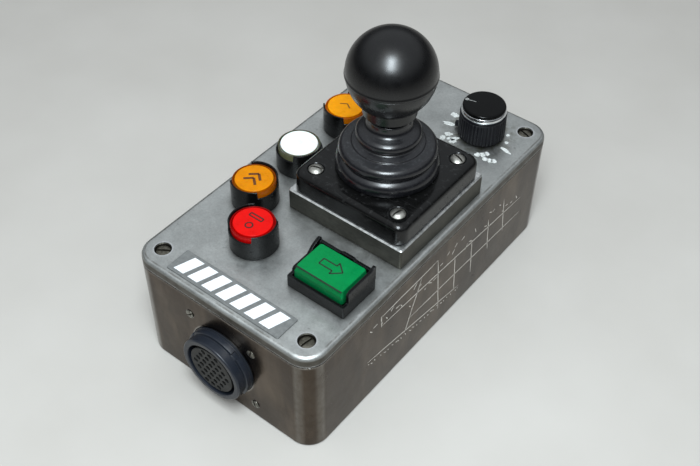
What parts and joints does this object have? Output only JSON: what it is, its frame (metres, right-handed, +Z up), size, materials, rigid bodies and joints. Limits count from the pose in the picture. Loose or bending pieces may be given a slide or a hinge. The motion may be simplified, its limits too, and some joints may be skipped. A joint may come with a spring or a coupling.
{
  "type": "pendant control station",
  "caption": "Handheld die-cast control box with a ball-top two-axis joystick in a rubber boot, coloured push-buttons, a rotary knob and a round multi-way socket.",
  "frame": {"origin": "centre of the flat underside of the box", "axes": "+Z up through the controls, -Y out of the wall that carries the socket, +X to the right when the socket faces the viewer"},
  "size_m": [0.081, 0.1565, 0.1223],
  "materials": {
    "body_metal": "polished die-cast aluminium, worn",
    "lid_metal": "bare die-cast aluminium, satin and mottled",
    "lid_screw_metal": "dulled, patinated",
    "label": "matt dark grey with pale print",
    "plinth_metal": "machined, bright edges",
    "bezel_plastic": "gloss moulded black",
    "nickel": "nickel plated, dulled",
    "boot_rubber": "smooth black rubber with a soft sheen",
    "frame_plastic": "moulded",
    "pot_case": "tin-plated can",
    "steel": "turned steel",
    "grip_plastic": "polished black phenolic, scuffed",
    "button_plastic": "gloss moulded black, scuffed",
    "nut_plastic": "moulded",
    "switch_plastic": "moulded",
    "lens_red": "translucent moulding, rubbed",
    "lens_amber": "translucent moulding",
    "lens_white": "translucent moulding",
    "lens_green": "translucent moulding, rubbed",
    "knob_plastic": "satin moulded black",
    "knob_ring_metal": "bright turned ring",
    "socket_black": "black anodised, worn",
    "socket_insulator": "dark moulded insulator"
  },
  "bodies": {
    "case": {"enclosure_body": "body_metal", "lid": "lid_metal", "lid_screw_front_left": "lid_screw_metal", "lid_screw_front_right": "lid_screw_metal", "lid_screw_rear_left": "lid_screw_metal", "lid_screw_rear_right": "lid_screw_metal", "label_plate": "label", "joystick_plinth": "plinth_metal", "boot_bezel": "bezel_plastic", "bezel_screw_front_left": "nickel", "bezel_screw_front_right": "nickel", "bezel_screw_rear_left": "nickel", "bezel_screw_rear_right": "nickel", "socket_screw_lower_left": "nickel", "socket_screw_lower_right": "nickel", "socket_screw_upper_left": "nickel", "socket_screw_upper_right": "nickel", "rubber_boot": "boot_rubber", "joystick_frame": "frame_plastic", "joystick_pot_x": "pot_case", "speed_pot_body": "pot_case", "centring_spring_x": "steel", "speed_pot_nut": "steel", "red_button_housing": "button_plastic", "amber_button_front_housing": "button_plastic", "white_button_housing": "button_plastic", "amber_button_rear_housing": "button_plastic", "green_button_housing": "button_plastic", "red_button_nut": "nut_plastic", "amber_button_front_nut": "nut_plastic", "white_button_nut": "nut_plastic", "amber_button_rear_nut": "nut_plastic", "green_button_nut": "nut_plastic", "red_button_switch": "switch_plastic", "amber_button_front_switch": "switch_plastic", "white_button_switch": "switch_plastic", "amber_button_rear_switch": "switch_plastic", "green_button_switch": "switch_plastic", "socket_shell": "socket_black", "socket_insert": "socket_insulator"},
    "gimbal": {"gimbal_ring": "steel", "centring_spring_y": "steel", "joystick_pot_y": "pot_case"},
    "stick": {"stick_shaft": "steel", "ball_grip": "grip_plastic"},
    "knob": {"knob_skirt": "knob_plastic", "knob_ring": "knob_ring_metal", "knob_cap": "knob_plastic", "speed_pot_shaft": "steel"},
    "red_button_cap": {"red_button_lens": "lens_red"},
    "amber_button_front_cap": {"amber_button_front_lens": "lens_amber"},
    "white_button_cap": {"white_button_lens": "lens_white"},
    "amber_button_rear_cap": {"amber_button_rear_lens": "lens_amber"},
    "green_button_cap": {"green_button_lens": "lens_green"}
  },
  "joints": [
    {"name": "stick_fore_aft", "type": "hinge", "parent": "case", "child": "gimbal", "pos_m": [0.0128, 0.0018, 0.038], "axis": [1, 0, 0], "range_deg": [-15, 15], "stiffness_Nm_per_rad": 0.5, "deforming": ["rubber_boot"]},
    {"name": "stick_left_right", "type": "hinge", "parent": "gimbal", "child": "stick", "pos_m": [0.0128, 0.0018, 0.038], "axis": [0, 1, 0], "range_deg": [-15, 15], "stiffness_Nm_per_rad": 0.5, "deforming": ["rubber_boot"]},
    {"name": "red_button_press", "type": "slide", "parent": "case", "child": "red_button_cap", "axis": [0, 0, -1], "range_m": [0, 0.002], "stiffness_N_per_m": 600, "springref_m": -0.0015},
    {"name": "amber_button_front_press", "type": "slide", "parent": "case", "child": "amber_button_front_cap", "axis": [0, 0, -1], "range_m": [0, 0.002], "stiffness_N_per_m": 600, "springref_m": -0.0015},
    {"name": "white_button_press", "type": "slide", "parent": "case", "child": "white_button_cap", "axis": [0, 0, -1], "range_m": [0, 0.002], "stiffness_N_per_m": 600, "springref_m": -0.0015},
    {"name": "amber_button_rear_press", "type": "slide", "parent": "case", "child": "amber_button_rear_cap", "axis": [0, 0, -1], "range_m": [0, 0.002], "stiffness_N_per_m": 600, "springref_m": -0.0015},
    {"name": "green_button_press", "type": "slide", "parent": "case", "child": "green_button_cap", "axis": [0, 0, -1], "range_m": [0, 0.002], "stiffness_N_per_m": 600, "springref_m": -0.0015},
    {"name": "knob_turn", "type": "hinge", "parent": "case", "child": "knob", "pos_m": [0.0194, 0.0555, 0.0493], "axis": [0, 0, 1], "range_deg": [-150, 150]}
  ]
}
